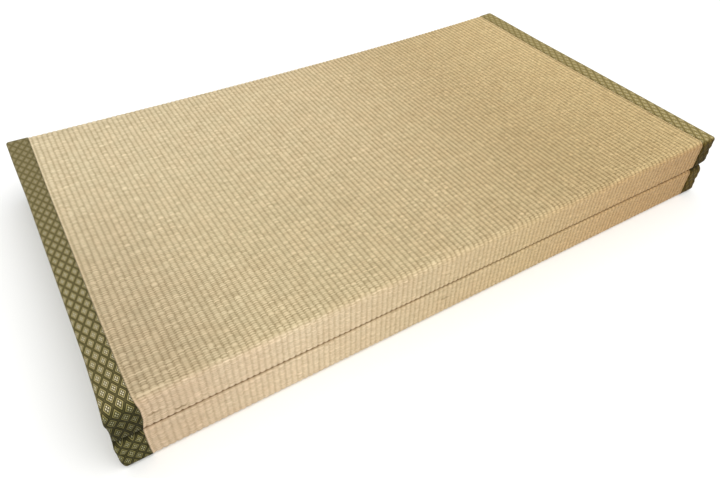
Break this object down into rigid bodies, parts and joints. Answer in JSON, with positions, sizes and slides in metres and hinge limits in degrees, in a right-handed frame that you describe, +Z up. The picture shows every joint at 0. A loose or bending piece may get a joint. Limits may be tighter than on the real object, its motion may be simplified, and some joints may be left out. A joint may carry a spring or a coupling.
{
  "type": "folding tatami mat",
  "caption": "Rush-faced tatami mat with brocade bindings along its sides, folded back and forth into a low flat stack.",
  "frame": {"origin": "middle of the underside of the folded mat, on the surface it lies on", "axes": "+X along the width from the left binding to the right one, +Y from the front folds to the back fold, +Z up"},
  "size_m": [0.9602, 0.5485, 0.1059],
  "materials": {
    "rush_facing": "woven rush straw, ribbed, semi-matt, beige to straw gold",
    "brocade_binding": "woven brocade, dark olive with a small pale lozenge repeat"
  },
  "bodies": {
    "root": {"mat_body": "rush_facing", "heri_left": "brocade_binding", "heri_right": "brocade_binding"}
  },
  "joints": []
}
